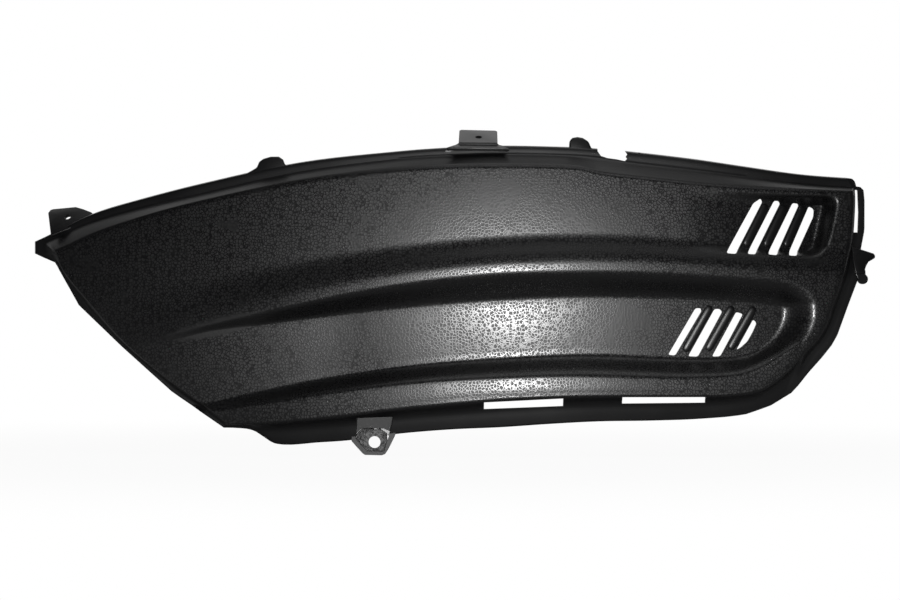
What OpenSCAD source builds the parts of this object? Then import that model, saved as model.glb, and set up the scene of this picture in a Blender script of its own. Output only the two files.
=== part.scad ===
// Side fairing panel of a scooter, one moulding in black plastic.
// Millimetres. X runs along the panel, Z is up, the outer skin looks towards -Y.
// The origin is the centre of the hole in the lower ear, halfway through that ear.

/* [Wall] */
// Thickness of the moulded skin and its border
wall = 2.5; // [2:0.1:4]
// Columns of facets along the left part of the panel
left_columns = 26; // [20:1:60]
// Columns of facets along the vented right part
right_columns = 22; // [16:1:40]

/* [Crown] */
// Where along the panel the outward bow is highest
crown_x = 95; // [40:1:160]
// How far the highest point of the bow stands in front of the ear
crown_front = 30; // [20:1:45]
// Radius of the outward bow along the panel
crown_radius = 800; // [500:10:1500]
// Radius of the outward bow from the top edge to the bottom edge
bow_radius = 700; // [400:10:2000]

/* [Relief] */
// Height of the long crest in front of the upper panel
crest_rise = 6; // [2:0.5:10]
// Depth of the scooped channel below the crest
channel_depth = 14; // [6:0.5:20]
// Depth of the upper vent pocket at its right wall
pocket_depth = 13; // [5:0.5:18]
// Roundover of the skin along its bottom edge
edge_roll = 2; // [0:0.5:4]

/* [Border] */
// Set-back of the border behind the edge of the skin
border_depth = 9; // [5:0.5:14]
// Depth of the lip turned back along the outside of the border
lip_depth = 3.5; // [3:0.5:8]

/* [Vents] */
// Width of the slots across the bars of the upper vent
upper_slot_width = 5.2; // [3:0.1:8]
// Width of the slots across the bars of the lower vent
lower_slot_width = 4.9; // [3:0.1:8]
// Distance between neighbouring slots of the upper vent
upper_slot_pitch = 14; // [10:0.5:18]
// Distance between neighbouring slots of the lower vent
lower_slot_pitch = 14.6; // [11:0.5:18]

/* [Fixings] */
// Diameter of the hole in the lower ear
ear_hole = 8; // [5:0.1:10]
// Diameter of the screw holes in the two tabs
tab_hole = 4.5; // [3:0.1:6]
// Thickness of the tabs and of the lower ear
tab_wall = 2.5; // [2:0.1:4]

/* [Hidden] */
$fn = 40;

// Lines of the front view, each as points of X and Z.
top_edge = [[-240, 124], [-218, 128.5], [-187, 141.5], [-142, 155.5], [-97, 166], [-47, 175.5],
    [4, 182], [51, 185], [97, 185.3], [135, 184], [152, 180.2], [181, 177], [218, 173.3],
    [258, 170.7], [292, 169.5], [324, 169], [340, 169]];
border_crease = [[-240, 131], [-223, 136.6], [-198, 147.3], [-163, 157], [-118, 167.5], [-50, 181.8],
    [17, 190.2], [51, 192.3], [84, 193.2], [142, 191.6], [168, 188], [213, 183], [245, 179],
    [286, 174.5], [320, 172], [340, 171]];
top_outline = [[-240, 134], [-234, 135.5], [-221, 141.4], [-193, 154], [-164, 162.4], [-118, 173.6],
    [-50, 187.6], [17, 194.9], [51, 197.2], [84, 198.3], [117, 197.8], [143, 196.8], [169, 194.6],
    [214, 189.6], [246, 185.2], [286, 180], [321, 177.6], [340, 177]];
bottom_edge = [[-130, 9], [-98, 12], [-73, 13], [-49, 15.2], [-16, 18.4], [17, 22.6], [51, 25.8],
    [84, 28.8], [117, 30.4], [150, 31.2], [184, 31.4], [217, 31.2], [239, 31.8], [257, 34.6],
    [266, 39.2], [275, 46], [286, 57], [300, 72]];
bottom_outline = [[-120, 12], [-97, 9.6], [-82, 8], [-67, -0.4], [-36, 1], [-16, 2.6], [17, 7.1],
    [51, 10], [84, 11.6], [117, 13.8], [150, 15.4], [184, 15.8], [218, 16.8], [249, 19.6],
    [266, 25], [280, 33.7], [292, 45], [304, 59]];
valley = [[-200, 79], [-152, 96], [-112, 104], [-73, 110.5], [-35, 117], [4, 122.6], [51, 127.4],
    [84, 130], [117, 131.4], [150, 131.8], [184, 130.6], [217, 127.6], [244, 125.9], [285, 124.3],
    [340, 123.6]];
crest = [[-200, 57], [-141, 74], [-83, 88.2], [-49, 96.2], [-16, 103.2], [17, 109], [51, 113.4],
    [84, 116.2], [117, 117.4], [150, 117.9], [183, 117.4], [217, 115.9], [244, 114], [274, 112.2],
    [340, 108]];
floor_top = [[-200, 46], [-118, 72.5], [-67, 79.2], [-22, 84.9], [17, 89], [51, 92.2], [84, 94.4],
    [117, 96], [150, 96.3], [208, 95], [245, 93], [270, 90], [340, 84]];
floor_bottom = [[-200, 16], [-118, 26], [-73, 36], [-35, 43.6], [-16, 46.6], [26, 52.6], [74, 56.8],
    [122, 59.6], [150, 60.2], [184, 58.8], [217, 57.4], [245, 59], [270, 66], [340, 74]];
rim = [[-200, 11], [-117, 19], [-73, 25], [-35, 31.4], [4, 36.8], [42, 40.6], [84, 42.8],
    [117, 43.8], [150, 43.6], [180, 42.6], [212, 42.4], [245, 44.4], [266, 50], [280, 60], [340, 66]];
// Side lines of the front view, each as points of Z and X.
left_edge = [[-30, -60], [12, -98], [41, -138], [67, -170], [96, -196.5], [115, -212.6], [128, -218],
    [140, -223], [200, -250]];
left_outline = [[-30, -58], [8, -100], [33, -137.5], [64, -172.8], [92, -203], [117, -218.4],
    [122, -222.5], [129, -232], [136, -235], [150, -241], [200, -263]];
right_edge = [[-30, 250], [20, 271], [57, 286], [69, 296.7], [79, 303], [91, 307], [106, 312.6],
    [123, 317.8], [134, 320.5], [155, 322.5], [168, 322.5], [178, 317], [200, 306]];
right_outline = [[-30, 262], [20, 274], [34, 282], [46, 291.5], [57, 301.5], [65, 308], [72, 312], [91, 319],
    [109, 326], [130, 329], [143, 331.6], [163, 331.8], [170, 331.2], [173, 328], [178, 324], [200, 316]];

// A smooth line through the points p, read at t.
function slope(p, i) = (p[min(i + 1, len(p) - 1)][1] - p[max(i - 1, 0)][1])
    / (p[min(i + 1, len(p) - 1)][0] - p[max(i - 1, 0)][0]);
function blend(p, i, t) = let(
    h = p[i + 1][0] - p[i][0],
    s = (t - p[i][0]) / h,
    a = p[i][1] + h * slope(p, i) * s * (1 - s) * (1 - s),
    b = -h * slope(p, i + 1) * s * s * (1 - s)
) a + (p[i + 1][1] - p[i][1]) * s * s * (3 - 2 * s) + b;
function smooth(p) = [for (i = [0:len(p) - 2], k = [0:5])
    let(t = p[i][0] + (p[i + 1][0] - p[i][0]) * k / 6) [t, blend(p, i, t)]];
top_edge_s = smooth(top_edge);
border_crease_s = smooth(border_crease);
top_outline_s = smooth(top_outline);
bottom_edge_s = smooth(bottom_edge);
bottom_outline_s = smooth(bottom_outline);
valley_s = smooth(valley);
crest_s = smooth(crest);
floor_top_s = smooth(floor_top);
floor_bottom_s = smooth(floor_bottom);
rim_s = smooth(rim);
left_edge_s = smooth(left_edge);
right_edge_s = smooth(right_edge);

function ease(t) = t <= 0 ? 0 : t >= 1 ? 1 : t * t * (3 - 2 * t);

// The bow of the whole panel, before any relief.
function crown(x, z) = crown_radius - crown_front
    - sqrt(crown_radius * crown_radius - (x - crown_x) * (x - crown_x))
    + (z - 105) * (z - 105) / (2 * bow_radius);

// The crest, the scooped channel and the vent pocket, measured back from the crown.
function crest_part(x, z) = let(
    high = lookup(x, valley_s) + 8,
    low = lookup(x, crest_s) + 2
) -crest_rise * ease((x + 190) / 150) * ease((high - z) / (high - low));
function channel_part(x, z) = let(
    top = lookup(x, crest_s) - 2,
    across = ease((x + 175) / 165) * ease((293 - x) / 36),
    down = ease((top - z) / (top - lookup(x, floor_top_s))),
    up = ease((z - lookup(x, rim_s)) / (lookup(x, floor_bottom_s) - lookup(x, rim_s)))
) channel_depth * across * down * up;
function pocket_part(x, z) = let(
    end = lookup(z, [[120, 293], [125, 298], [131, 305], [140, 308], [151, 310.5], [160, 312.5], [175, 313]]),
    in = max(0, (x - 212) / 84),
    wall_side = ease((end - x) / 11),
    top_side = ease((lookup(x, top_edge_s) - 3 - z) / 7),
    low_side = ease((z - lookup(x, valley_s) - 0.5) / 4)
) pocket_depth * min(1, in) * wall_side * top_side * low_side;
function relief(x, z) = crest_part(x, z) + channel_part(x, z) + pocket_part(x, z);

// Columns run down the panel from the top outline to the bottom outline.
last_column = left_columns + right_columns;
function share(i) = i <= left_columns ? 0.775 * i / left_columns
    : 0.775 + 0.225 * (i - left_columns) / right_columns;
function column_x(u, z) = let(
    l = lookup(z, left_edge_s),
    r = lookup(z, right_edge_s)
) u < 0 ? l + (lookup(z, left_outline) - l) * -u
    : u > 1 ? r + (lookup(z, right_outline) - r) * (u - 1)
    : l + (r - l) * u;
function meet(u, line, z, n) = n == 0 ? z
    : meet(u, line, 0.3 * z + 0.7 * lookup(column_x(u, z), line), n - 1);
function keys(u) = let(v = meet(u, valley_s, 120, 6)) [
    meet(u, top_outline_s, 180, 6),
    meet(u, border_crease_s, 175, 6),
    meet(u, top_edge_s, 170, 6),
    v + 8,
    v,
    meet(u, crest_s, 105, 6),
    meet(u, floor_top_s, 90, 6),
    meet(u, floor_bottom_s, 55, 6),
    meet(u, rim_s, 40, 6),
    meet(u, bottom_edge_s, 30, 6),
    meet(u, bottom_outline_s, 15, 6)
];

// Each column is its share across the skin, the set-back of the border there, and how far
// the back face lies inwards and backwards of the front face, in wall thicknesses.
columns = concat(
    [[-1, border_depth + lip_depth, 1, 0.1], [-0.95, border_depth + 0.6, 1, 0.8],
        [-0.4, border_depth, 1, 1], [0, 0.7, 1, 0.7], [0.005, 0, 0.7, 1]],
    [for (i = [1:last_column - 1]) [share(i), 0, i == 1 ? 0.2 : 0, 1]],
    [[0.993, 0, 0.7, 1], [1, 0.7, 1, 0.7], [1.12, 0.45 * border_depth, 1, 0.8],
        [1.3, border_depth, 1, 1], [1.94, border_depth + 0.6, 1, 0.8],
        [2, border_depth + lip_depth, 1, 0.1]]
);
// Each row is the key line above it, the share of the way to the next, and the same three.
rows = [
    [0, -0.1, border_depth + lip_depth, -1, 0.1], [0, 0, border_depth + 0.6, -1, 0.8],
    [0, 0.4, border_depth, -1, 1], [1, 0, border_depth, -1, 1], [1, 0.3, 0.7 * border_depth, -1, 0.8],
    [1, 0.8, 0.2 * border_depth, -1, 0.7], [2, 0, 0.7, -1, 0.7], [2, 0.04, 0, -0.8, 1],
    [2, 0.1, 0, -0.5, 1], [2, 0.2, 0, -0.2, 1], [2, 0.4, 0, 0, 1], [2, 0.6, 0, 0, 1],
    [2, 0.8, 0, 0, 1], [2, 0.92, 0, 0, 1], [3, 0, 0, 0, 1], [3, 0.5, 0, 0, 1], [4, 0, 0, 0, 1],
    [4, 0.35, 0, 0, 1], [4, 0.7, 0, 0, 1], [5, 0, 0, 0, 1], [5, 0.18, 0, 0, 1], [5, 0.4, 0, 0, 1],
    [5, 0.65, 0, 0, 1], [5, 0.85, 0, 0, 1], [6, 0, 0, 0, 1], [6, 0.33, 0, 0, 1], [6, 0.67, 0, 0, 1],
    [7, 0, 0, 0, 1], [7, 0.25, 0, 0, 1], [7, 0.5, 0, 0, 1], [7, 0.75, 0, 0, 1],
    [8, 0, 0, 0, 1], [8, 0.5, 0, 0.3, 1], [8, 0.8, 0.3 * edge_roll, 0.8, 1],
    [9, 0, edge_roll, 1, 0.8], [9, 0.18, 0.7 * border_depth, 1, 0.8], [9, 0.36, border_depth, 1, 1],
    [9, 0.7, border_depth, 1, 1], [9, 1, border_depth + 0.6, 1, 0.8],
    [9, 1.06, border_depth + lip_depth, 1, 0.1]
];
nu = len(columns);
nv = len(rows);
function place(c, k, r) = let(
    u = c[0],
    z1 = k[r[0]] + (k[r[0] + 1] - k[r[0]]) * r[1],
    z = u < 0 ? z1 + 5 * u * ease((z1 - 128) / 8) : z1,
    x = column_x(u, z)
) [x, crown(x, z) + relief(x, z) + max(c[1], r[2]), z];
// The back face follows the front face at the wall thickness, measured square to the skin.
function steep(x, z) = let(
    gx = (relief(x + 1, z) - relief(x - 1, z)) / 2,
    gz = (relief(x, z + 1) - relief(x, z - 1)) / 2
) min(1.8, sqrt(1 + gx * gx + gz * gz));
function behind(p, c, r) = let(
    side = (c[0] < 0.5 ? 1 : -1) * c[2] * wall,
    rise = (c[0] < 0.5 ? 0.6 : 0) * c[2] * wall
) p + [side * (c[0] < 0.5 ? 0.8 : 1), wall * min(c[3], r[4]) * steep(p[0], p[2]), r[3] * wall + rise];
grid = [for (c = columns) let(k = keys(min(1, max(0, c[0])))) [for (r = rows) place(c, k, r)]];
front_points = [for (i = [0:nu - 1], j = [0:nv - 1]) grid[i][j]];
back_points = [for (i = [0:nu - 1], j = [0:nv - 1]) behind(grid[i][j], columns[i], rows[j])];
function at(i, j) = i * nv + j;
function back_at(i, j) = nu * nv + i * nv + j;
// The rim of the grid, once round, as pairs of column and row.
ring = concat(
    [for (i = [0:nu - 1]) [i, 0]],
    [for (j = [1:nv - 1]) [nu - 1, j]],
    [for (i = [1:nu - 1]) [nu - 1 - i, nv - 1]],
    [for (j = [1:nv - 2]) [0, nv - 1 - j]]
);
shell_faces = concat(
    [for (i = [0:nu - 2], j = [0:nv - 2]) each [
        [at(i, j), at(i + 1, j), at(i + 1, j + 1)],
        [at(i, j), at(i + 1, j + 1), at(i, j + 1)],
        [back_at(i, j), back_at(i + 1, j + 1), back_at(i + 1, j)],
        [back_at(i, j), back_at(i, j + 1), back_at(i + 1, j + 1)]
    ]],
    [for (n = [0:len(ring) - 1]) let(a = ring[n], b = ring[(n + 1) % len(ring)]) each [
        [at(a[0], a[1]), back_at(a[0], a[1]), back_at(b[0], b[1])],
        [at(a[0], a[1]), back_at(b[0], b[1]), at(b[0], b[1])]
    ]]
);
module skin() {
    polyhedron(points = concat(front_points, back_points), faces = shell_faces, convexity = 10);
}

// A slanted slot through the skin, from its lower end to its rounded upper end.
module slot(low, high, width) {
    lean = atan2(high[0] - low[0], high[1] - low[1]);
    length = norm(high - low);
    r = width / 2;
    translate([low[0], 40, low[1]])
        rotate([90, 0, 0])
            rotate([0, 0, -lean])
                linear_extrude(height = 100)
                    polygon(concat(
                        [[-r, -r * tan(lean)], [r, r * tan(lean)]],
                        [for (a = [0:15:180]) [r * cos(a), length - r + r * sin(a)]]
                    ));
}
module upper_slots() {
    for (i = [0:3])
        slot([238.3 + upper_slot_pitch * i, 126.4 - 0.4 * i],
            [257.6 + (upper_slot_pitch - 1) * i, 163 - 0.4 * i - 0.45 * i * i], upper_slot_width);
}
module lower_slots() {
    for (i = [0:3])
        slot([198.8 + lower_slot_pitch * i, 58.4 + (i == 3 ? 6.5 : 0)],
            [217.3 + (lower_slot_pitch - 1.2) * i, 90.6 - (i == 2 ? 2.6 : i == 3 ? 7 : 0)], lower_slot_width);
}

function skin_y(x, z) = crown(x, z) + relief(x, z);
function border_y(x, z) = crown(x, z) + crest_part(x, z) + border_depth;

// A rounded rib that stiffens one bar between two slots.
module rib(low, high, r) {
    a = [low[0], skin_y(low[0], low[1]) + 0.45 * r, low[1]];
    b = [high[0], skin_y(high[0], high[1]) + 0.45 * r, high[1]];
    v = b - a;
    translate(a)
        rotate([0, acos(v[2] / norm(v)), atan2(v[1], v[0])]) {
            cylinder(h = norm(v), r = r, $fn = 20);
            translate([0, 0, norm(v)])
                sphere(r = r, $fn = 20);
        }
}
module bar_ribs() {
    for (i = [0:2])
        rib([247.6 + upper_slot_pitch * i, 131.5], [263.4 + (upper_slot_pitch - 1) * i, 160], 2.7);
    for (i = [0:2])
        rib([206.3 + lower_slot_pitch * i, 60 + i], [224.6 + (lower_slot_pitch - 1.2) * i, 90.8 - i], 2.7);
}

// A flat piece drawn in the front view, from one depth to another.
module plate(front, back) {
    translate([0, back, 0])
        rotate([90, 0, 0])
            linear_extrude(height = back - front)
                children();
}

// The lower ear stands at the back of a small box below the border.
ear_window = [[-11.2, 17], [-12.6, 2.8], [-4.8, -5.8], [6.6, -6.1], [8, -1], [10.2, 6], [12, 12], [13.2, 17.5]];
ear_outside = [[-14, 19], [-15.2, 1.2], [-12.1, -2.3], [-7.9, -6.9], [-6.2, -8.1], [5.1, -8.3],
    [7.4, -7.4], [9.4, -4.4], [11.4, -0.5], [13.8, 4.5], [15.4, 12], [16, 20]];
ear_plate = [[-14, 1.2], [-12, 5.5], [-8.5, 9.4], [-1.4, 9.4], [0.4, 8.4], [3.6, 9.2], [6.2, 7.4],
    [8.4, 6], [9, -4], [5.6, -7.2], [-5.6, -7.2]];
module ear_box() {
    difference() {
        plate(-18, 8.5)
            difference() {
                polygon(ear_outside);
                polygon(ear_window);
            }
        translate([0, -13.6, 0])
            rotate([0, 0, -6.8])
                translate([-40, -20, -20])
                    cube([80, 20, 60]);
        translate([-40, tab_wall / 2, -30])
            cube([80, 20, 34]);
    }
    plate(6, 8.5)
        polygon([[-13, 5], [11, 5], [15, 24], [-13, 24]]);
    plate(1, 8.5)
        polygon([[-13.4, 2.5], [-12, 6], [-9, 9], [6, 9], [11, 7], [11, 4], [6, 5], [-9, 5]]);
    plate(-20, 8.5)
        polygon([[-13, 20.4], [-13, 23], [15, 26], [15, 23.6]]);
    plate(-tab_wall / 2, tab_wall / 2)
        polygon(ear_plate);
}

// A screw tab: its foot lies along X, it leans back from upright by tilt.
module screw_tab(foot, roll, tilt, outline, hole) {
    translate(foot)
        rotate([0, -roll, 0])
            rotate([-tilt, 0, 0])
                difference() {
                    plate(0, tab_wall)
                        polygon(outline);
                    translate([hole[0], -1, hole[1]])
                        rotate([-90, 0, 0])
                            cylinder(h = tab_wall + 2, d = tab_hole);
                }
}
module left_tab() {
    screw_tab([-220, border_y(-210, 146) + 1, 142.6], 20, 45,
        [[-3, -3], [-1, 20], [1, 22], [3, 22], [18.6, 16], [23, 11.5], [28, 5.5], [31, -2]], [11.5, 9]);
}
module top_tab() {
    screw_tab([56.4, border_y(69, 196) + 0.4, 199.4], -1, 64,
        [[-8, -5], [-2, 0], [0, 3], [0.4, 24], [1.6, 25.4], [24.8, 25], [26, 23.6], [26.2, 3],
            [28, 0], [34, -5]], [13.4, 13]);
    plate(border_y(69, 196) + 0.6, border_y(69, 196) + 3.4)
        polygon([[46, 194], [49, 197], [56, 199.6], [57, 201], [82, 200.8], [83, 199.4], [91, 197.2],
            [93, 194]]);
}
// The rounded catch at the left, the knob and the small bead along the top border.
module catches() {
    plate(border_y(-75, 184) + 0.5, border_y(-75, 184) + 7)
        polygon([[-90, 178], [-86, 181], [-79.5, 184.6], [-77.8, 188.6], [-75, 190.6], [-70, 192],
            [-64.5, 192], [-61.6, 190], [-60.4, 187], [-57, 184]]);
    plate(border_y(138, 197) + 0.5, border_y(138, 197) + 7)
        polygon([[129, 192], [130.4, 198], [130.6, 202], [132.6, 204], [136, 204.6], [139.5, 204],
            [143.4, 201.6], [145.2, 197.4], [148, 195.6], [149, 192]]);
    plate(border_y(178, 192) + 0.5, border_y(178, 192) + 3)
        polygon([[174, 190], [175.6, 193.2], [177.4, 194.4], [179.4, 193], [181, 190]]);
}
// The hooked clip that stands off the right border.
module side_clip() {
    plate(border_y(328, 124) - 1.5, border_y(328, 124) + 6)
        polygon([[322, 131.6], [328.6, 129.7], [337.2, 127], [338.4, 125.6], [338, 123.8], [333.3, 121.2],
            [331.6, 118.4], [329.8, 113.6], [324, 113], [322.4, 123]]);
    translate([329.2, border_y(328, 112) + 6, 109.6])
        rotate([90, 0, 0])
            cylinder(h = 7.5, r = 3.4);
    plate(border_y(328, 112) - 1.5, border_y(328, 112) + 6)
        polygon([[323, 116], [331, 116], [331.2, 110], [326, 108.4]]);
}

// Everything that is cut out of the border.
module border_cuts() {
    // The gap and the ragged end where the right half of the border starts.
    plate(-60, 60)
        polygon([[148.6, 210], [149.4, 195], [151.6, 191.8], [156, 190.4], [162, 189.6], [167.6, 188.4],
            [169.2, 190], [168.2, 191.4], [169.4, 193], [167.4, 196], [167, 210]]);
    // The two long slots below the skin and the narrow one beside it.
    plate(-45, 40)
        polygon([[73.3, 27.5], [126, 30.1], [126, 24.9], [73.3, 22.9]]);
    plate(-45, 40)
        polygon([[165.3, 30.9], [221.2, 30.8], [221.2, 26.9], [165.3, 26.5]]);
    plate(-20, 60)
        polygon([[324.6, 170], [326.5, 170], [327, 155], [326.4, 141.2], [323.2, 141.2], [324.2, 155]]);
    // The bores.
    translate([0, -30, 0])
        rotate([-90, 0, 0])
            cylinder(h = 60, d = ear_hole);
}

module fairing_panel() {
    color([0.06, 0.06, 0.065])
        difference() {
            union() {
                difference() {
                    skin();
                    plate(-19.5, 12)
                        polygon(ear_window);
                }
                bar_ribs();
                ear_box();
                left_tab();
                top_tab();
                catches();
                side_clip();
            }
            upper_slots();
            lower_slots();
            border_cuts();
        }
}

fairing_panel();
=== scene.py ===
import math

import bmesh
import bpy
import numpy as np
from mathutils import Matrix, Vector


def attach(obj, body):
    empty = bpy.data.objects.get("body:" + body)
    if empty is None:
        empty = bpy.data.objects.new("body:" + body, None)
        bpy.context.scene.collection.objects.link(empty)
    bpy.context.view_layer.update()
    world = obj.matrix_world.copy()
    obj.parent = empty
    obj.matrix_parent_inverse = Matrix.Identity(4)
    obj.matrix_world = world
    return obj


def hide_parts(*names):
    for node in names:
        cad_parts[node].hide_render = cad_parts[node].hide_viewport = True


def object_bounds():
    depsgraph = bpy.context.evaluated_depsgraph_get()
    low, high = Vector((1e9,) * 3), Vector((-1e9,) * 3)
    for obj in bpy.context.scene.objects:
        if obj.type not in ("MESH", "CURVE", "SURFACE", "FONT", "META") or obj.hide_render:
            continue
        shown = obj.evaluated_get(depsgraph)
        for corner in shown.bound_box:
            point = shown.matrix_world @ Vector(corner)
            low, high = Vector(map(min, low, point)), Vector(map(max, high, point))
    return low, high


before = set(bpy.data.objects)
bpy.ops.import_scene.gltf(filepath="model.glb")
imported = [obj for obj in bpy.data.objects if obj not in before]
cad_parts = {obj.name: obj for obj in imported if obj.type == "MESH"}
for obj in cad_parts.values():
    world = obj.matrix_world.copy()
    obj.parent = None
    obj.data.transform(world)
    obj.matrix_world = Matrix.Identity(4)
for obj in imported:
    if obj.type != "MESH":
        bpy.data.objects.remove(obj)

bl_info = {
    "name": "Scooter side fairing panel",
    "version": (1, 0, 0),
    "blender": (4, 5, 0),
    "location": "View3D > Sidebar > Panel",
    "description": "Moulded side fairing panel with a scooped channel and two vents",
    "category": "Object",
}

PANEL = "fairing_panel"
SOLIDS_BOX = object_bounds()
# Lines, outlines and the numbers of the form are in millimetres.
MM = 0.001

# Lines of the front view, each as points of X and Z.
TOP_EDGE = (
    (-240, 124), (-218, 128.5), (-187, 141.5), (-142, 155.5), (-97, 166), (-47, 175.5), (4, 182),
    (51, 185), (97, 185.3), (135, 184), (152, 180.2), (181, 177), (218, 173.3), (258, 170.7),
    (292, 169.5), (324, 169), (340, 169),
)
BORDER_CREASE = (
    (-240, 131), (-223, 136.6), (-198, 147.3), (-163, 157), (-118, 167.5), (-50, 181.8),
    (17, 190.2), (51, 192.3), (84, 193.2), (142, 191.6), (168, 188), (213, 183), (245, 179),
    (286, 174.5), (320, 172), (340, 171),
)
TOP_OUTLINE = (
    (-240, 134), (-234, 135.5), (-221, 141.4), (-193, 154), (-164, 162.4), (-118, 173.6),
    (-50, 187.6), (17, 194.9), (51, 197.2), (84, 198.3), (117, 197.8), (143, 196.8), (169, 194.6),
    (214, 189.6), (246, 185.2), (286, 180), (321, 177.6), (340, 177),
)
BOTTOM_EDGE = (
    (-130, 9), (-98, 12), (-73, 13), (-49, 15.2), (-16, 18.4), (17, 22.6), (51, 25.8), (84, 28.8),
    (117, 30.4), (150, 31.2), (184, 31.4), (217, 31.2), (239, 31.8), (257, 34.6), (266, 39.2),
    (275, 46), (286, 57), (300, 72),
)
BOTTOM_OUTLINE = (
    (-120, 12), (-97, 9.6), (-82, 8), (-67, -0.4), (-36, 1), (-16, 2.6), (17, 7.1), (51, 10),
    (84, 11.6), (117, 13.8), (150, 15.4), (184, 15.8), (218, 16.8), (249, 19.6), (266, 25),
    (280, 33.7), (292, 45), (304, 59),
)
VALLEY = (
    (-200, 79), (-152, 96), (-112, 104), (-73, 110.5), (-35, 117), (4, 122.6), (51, 127.4),
    (84, 130), (117, 131.4), (150, 131.8), (184, 130.6), (217, 127.6), (244, 125.9), (285, 124.3),
    (340, 123.6),
)
CREST = (
    (-200, 57), (-141, 74), (-83, 88.2), (-49, 96.2), (-16, 103.2), (17, 109), (51, 113.4),
    (84, 116.2), (117, 117.4), (150, 117.9), (183, 117.4), (217, 115.9), (244, 114), (274, 112.2),
    (340, 108),
)
FLOOR_TOP = (
    (-200, 46), (-118, 72.5), (-67, 79.2), (-22, 84.9), (17, 89), (51, 92.2), (84, 94.4),
    (117, 96), (150, 96.3), (208, 95), (245, 93), (270, 90), (340, 84),
)
FLOOR_BOTTOM = (
    (-200, 16), (-118, 26), (-73, 36), (-35, 43.6), (-16, 46.6), (26, 52.6), (74, 56.8),
    (122, 59.6), (150, 60.2), (184, 58.8), (217, 57.4), (245, 59), (270, 66), (340, 74),
)
RIM = (
    (-200, 11), (-117, 19), (-73, 25), (-35, 31.4), (4, 36.8), (42, 40.6), (84, 42.8),
    (117, 43.8), (150, 43.6), (180, 42.6), (212, 42.4), (245, 44.4), (266, 50), (280, 60),
    (340, 66),
)
# Side lines of the front view, each as points of Z and X.
LEFT_EDGE = (
    (-30, -60), (12, -98), (41, -138), (67, -170), (96, -196.5), (115, -212.6), (128, -218),
    (140, -223), (200, -250),
)
LEFT_OUTLINE = (
    (-30, -58), (8, -100), (33, -137.5), (64, -172.8), (92, -203), (117, -217.4), (121, -219.5),
    (124.5, -228), (127.5, -234.6), (136, -234.6), (150, -238), (200, -263),
)
RIGHT_EDGE = (
    (-30, 250), (20, 271), (57, 286), (69, 296.7), (79, 303), (91, 307), (106, 312.6),
    (123, 317.8), (134, 320.5), (155, 322.5), (168, 322.5), (178, 317), (200, 306),
)
RIGHT_OUTLINE = (
    (-30, 262), (20, 274), (34, 282), (46, 291.5), (57, 301.5), (65, 308), (72, 312), (91, 319),
    (109, 326), (130, 329), (143, 331.6), (163, 331.8), (170, 331.2), (173, 328), (178, 324),
    (200, 316),
)
CHANNEL_END = (
    (20, 240), (47, 262), (54, 272), (62, 282), (68, 289), (75, 294), (83.5, 297), (93.5, 297),
    (101.6, 292), (108, 284), (112, 274), (125, 240),
)
POCKET_END = (
    (120, 293), (125, 298), (131, 305), (140, 308), (151, 310.5), (160, 312.5), (175, 313),
)

# Height over the ear hole at which the panel bows out most.
BOW_MIDDLE = 105
# Where each relief starts along the panel, and over what reach it comes in or fades.
CREST_START, CREST_FADE, CREST_TOP, CREST_FOOT = -190, 150, 8, 2
CHANNEL_START, CHANNEL_FADE, BOWL_WALL = -175, 165, 24
POCKET_START, POCKET_REACH, POCKET_CURVE = 205, 91, 1.7
POCKET_WALL, POCKET_EDGE, POCKET_TOP, POCKET_LIFT, POCKET_FOOT = 11, 3, 7, 0.5, 4
RIM_WIDTH, RIM_START, RIM_FADE, RIM_END, RIM_OUT = 12, -150, 120, 300, 60
# The left tip: the height from which the columns drop, over what rise, and by how much.
TIP_HEIGHT, TIP_RISE, TIP_DROP = 128, 8, 5
# Share of the way along the panel at which the finer columns of the vented part start.
VENTED_FROM = 0.775
# The wall is thickened along Y on steep relief, up to this factor.
STEEPEST = 1.8

# Depth at which the picture's width is true, lamps as offsets from there, floor; in metres.
CROWN_Y = -20 * MM
KEY_PLACE, KEY_SIZE = (0.05, -2.42, -0.05), 0.08
FILL_PLACE, FILL_SIZE = (0.2, -0.6, 2.2), 1.6
FLOOR_REACH, FLOOR_GAP = 12.0, 0.0005
FLOOR_COLOUR, WHITE, DIM = (0.85, 0.85, 0.85), (1.0, 1.0, 1.0), (0.03, 0.03, 0.032)

# Finish: sizes of the noise, what hollows and wear add to the roughness, heights of the bumps.
CLOUD_SCALE, SPECK_SCALE, FOLD_SCALE = 26.0, 900.0, 260.0
HOLLOW_ROUGHER, WORN_ROUGHER = 0.2, 0.2
SPECK_HEIGHT, FOLD_HEIGHT, EAR_ROUGHNESS = 0.02 * MM, 0.7 * MM, 0.46


def length(default, name, description):
    """A size in metres, given in millimetres."""
    return bpy.props.FloatProperty(
        name=name, description=description, default=default * MM, unit="LENGTH", precision=4
    )


def portion(default, name, description):
    """A share from 0 to 1."""
    return bpy.props.FloatProperty(
        name=name, description=description, default=default, min=0.0, max=1.0
    )


def count(default, least, name, description):
    """A whole number."""
    return bpy.props.IntProperty(name=name, description=description, default=default, min=least)


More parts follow.
